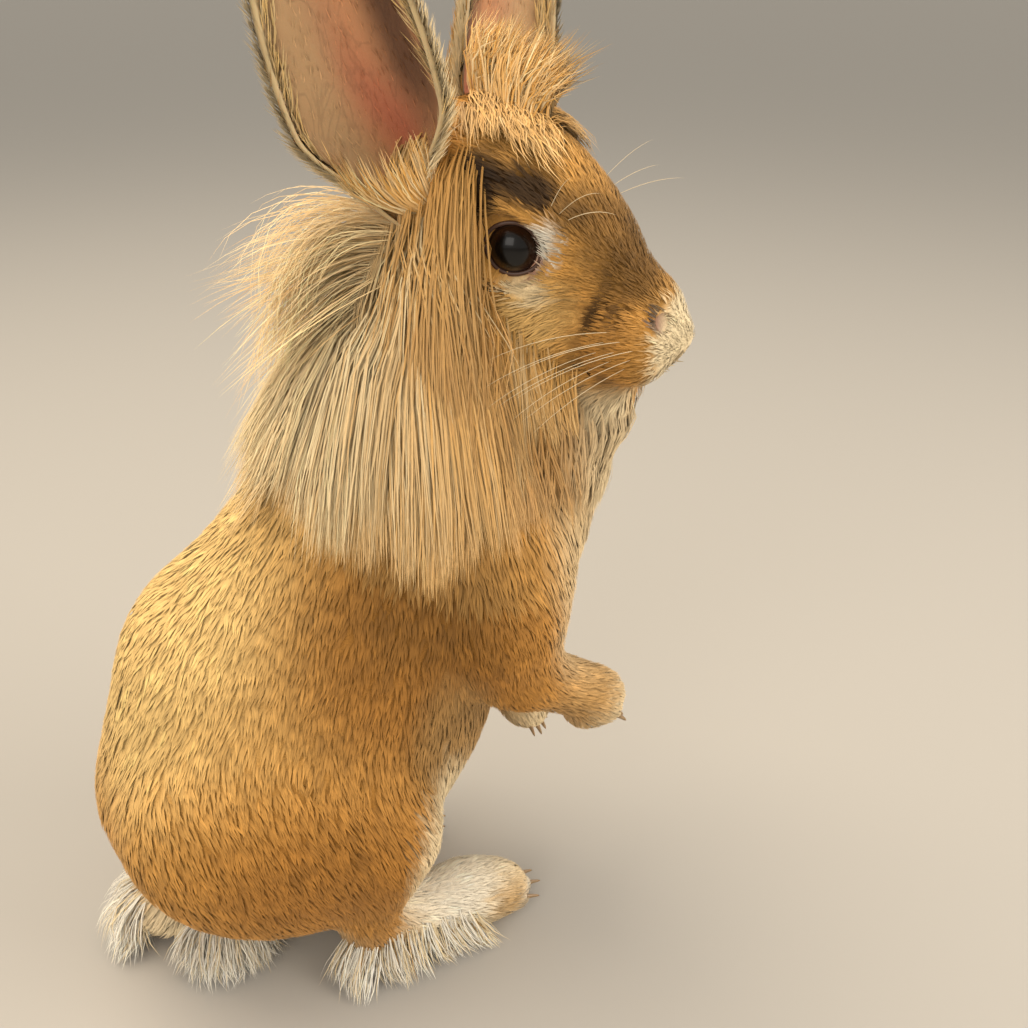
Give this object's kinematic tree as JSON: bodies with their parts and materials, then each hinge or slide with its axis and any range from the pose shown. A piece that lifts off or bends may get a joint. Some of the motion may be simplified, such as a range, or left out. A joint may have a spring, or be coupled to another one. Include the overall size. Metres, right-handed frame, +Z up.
{
  "type": "lionhead rabbit model",
  "caption": "Life-size still model of a lionhead rabbit standing up on its hind feet, forepaws raised, head turned to its right, with a long mane.",
  "frame": {"origin": "middle of the model's bounding box in plan, on the floor that it stands on", "axes": "+Z up, +X the way the rabbit's body faces, +Y its left side"},
  "size_m": [0.2057, 0.1182, 0.3745],
  "materials": {
    "golden_fur": "soft fur",
    "pale_mane": "soft fur",
    "golden_back_fur": "soft fur",
    "white_tail_fur": "soft fur",
    "haunch_fur_right": "soft fur",
    "haunch_fur_left": "soft fur",
    "foot_fur_right": "soft fur",
    "foot_fur_left": "soft fur",
    "foreleg_fur_right": "soft fur",
    "foreleg_fur_left": "soft fur",
    "ear_skin_right": "thin haired skin",
    "ear_skin_left": "thin haired skin",
    "dark_eye": "wet, high gloss",
    "horn_claw": "satin horn"
  },
  "bodies": {
    "root": {"head": "golden_fur", "neck": "pale_mane", "torso": "golden_back_fur", "tail": "white_tail_fur", "hind_leg_right": "haunch_fur_right", "hind_leg_left": "haunch_fur_left", "hind_foot_right": "foot_fur_right", "hind_foot_left": "foot_fur_left", "foreleg_right": "foreleg_fur_right", "foreleg_left": "foreleg_fur_left", "ear_right": "ear_skin_right", "ear_left": "ear_skin_left", "eye_right": "dark_eye", "eye_left": "dark_eye", "claw_hind_right_1": "horn_claw", "claw_hind_right_2": "horn_claw", "claw_hind_right_3": "horn_claw", "claw_hind_right_4": "horn_claw", "claw_hind_left_1": "horn_claw", "claw_hind_left_2": "horn_claw", "claw_hind_left_3": "horn_claw", "claw_hind_left_4": "horn_claw", "claw_fore_right_1": "horn_claw", "claw_fore_right_2": "horn_claw", "claw_fore_right_3": "horn_claw", "claw_fore_right_4": "horn_claw", "claw_fore_left_1": "horn_claw", "claw_fore_left_2": "horn_claw", "claw_fore_left_3": "horn_claw", "claw_fore_left_4": "horn_claw"}
  },
  "joints": []
}
